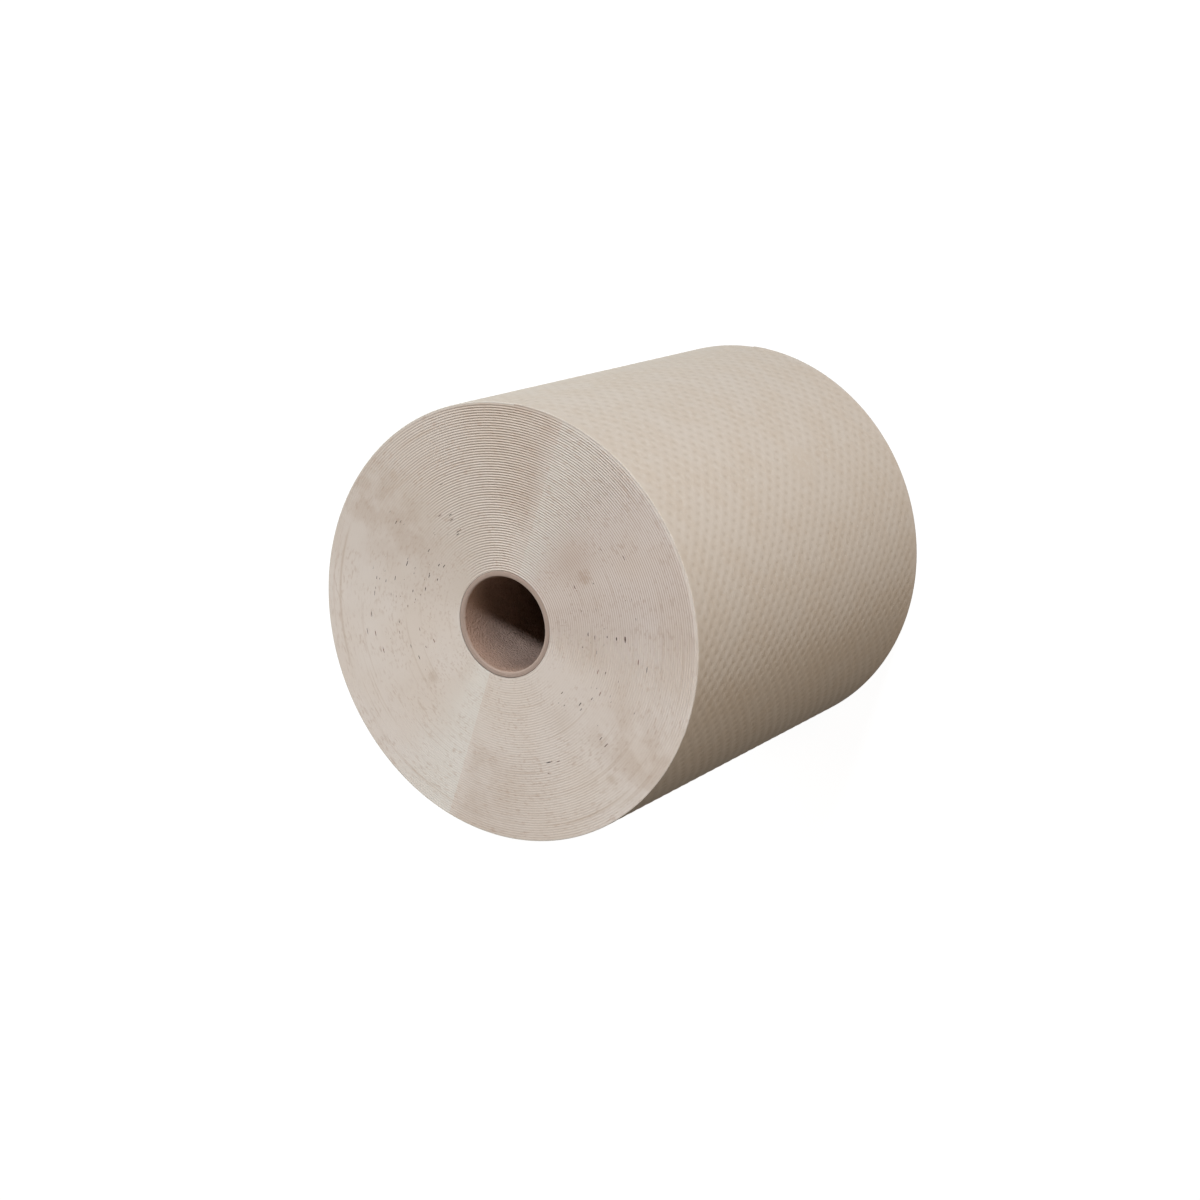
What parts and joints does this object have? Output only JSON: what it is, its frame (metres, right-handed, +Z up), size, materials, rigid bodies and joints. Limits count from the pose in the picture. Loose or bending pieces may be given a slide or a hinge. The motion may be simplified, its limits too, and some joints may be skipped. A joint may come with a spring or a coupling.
{
  "type": "paper towel roll",
  "caption": "Roll of embossed natural kraft paper towel, wound in a spiral on a flush cardboard core, that stands on its end or hangs on a spindle.",
  "frame": {"origin": "centre of the lower end, on the axis of the core", "axes": "+Z up the axis of the core, -Y towards the side that the picture shows"},
  "size_m": [0.1888, 0.1889, 0.2032],
  "materials": {
    "core_board": "matt grey-brown board",
    "towel_paper": "matt beige unbleached tissue, embossed"
  },
  "bodies": {
    "root": {"cardboard_core": "core_board", "wound_towel": "towel_paper"}
  },
  "joints": []
}
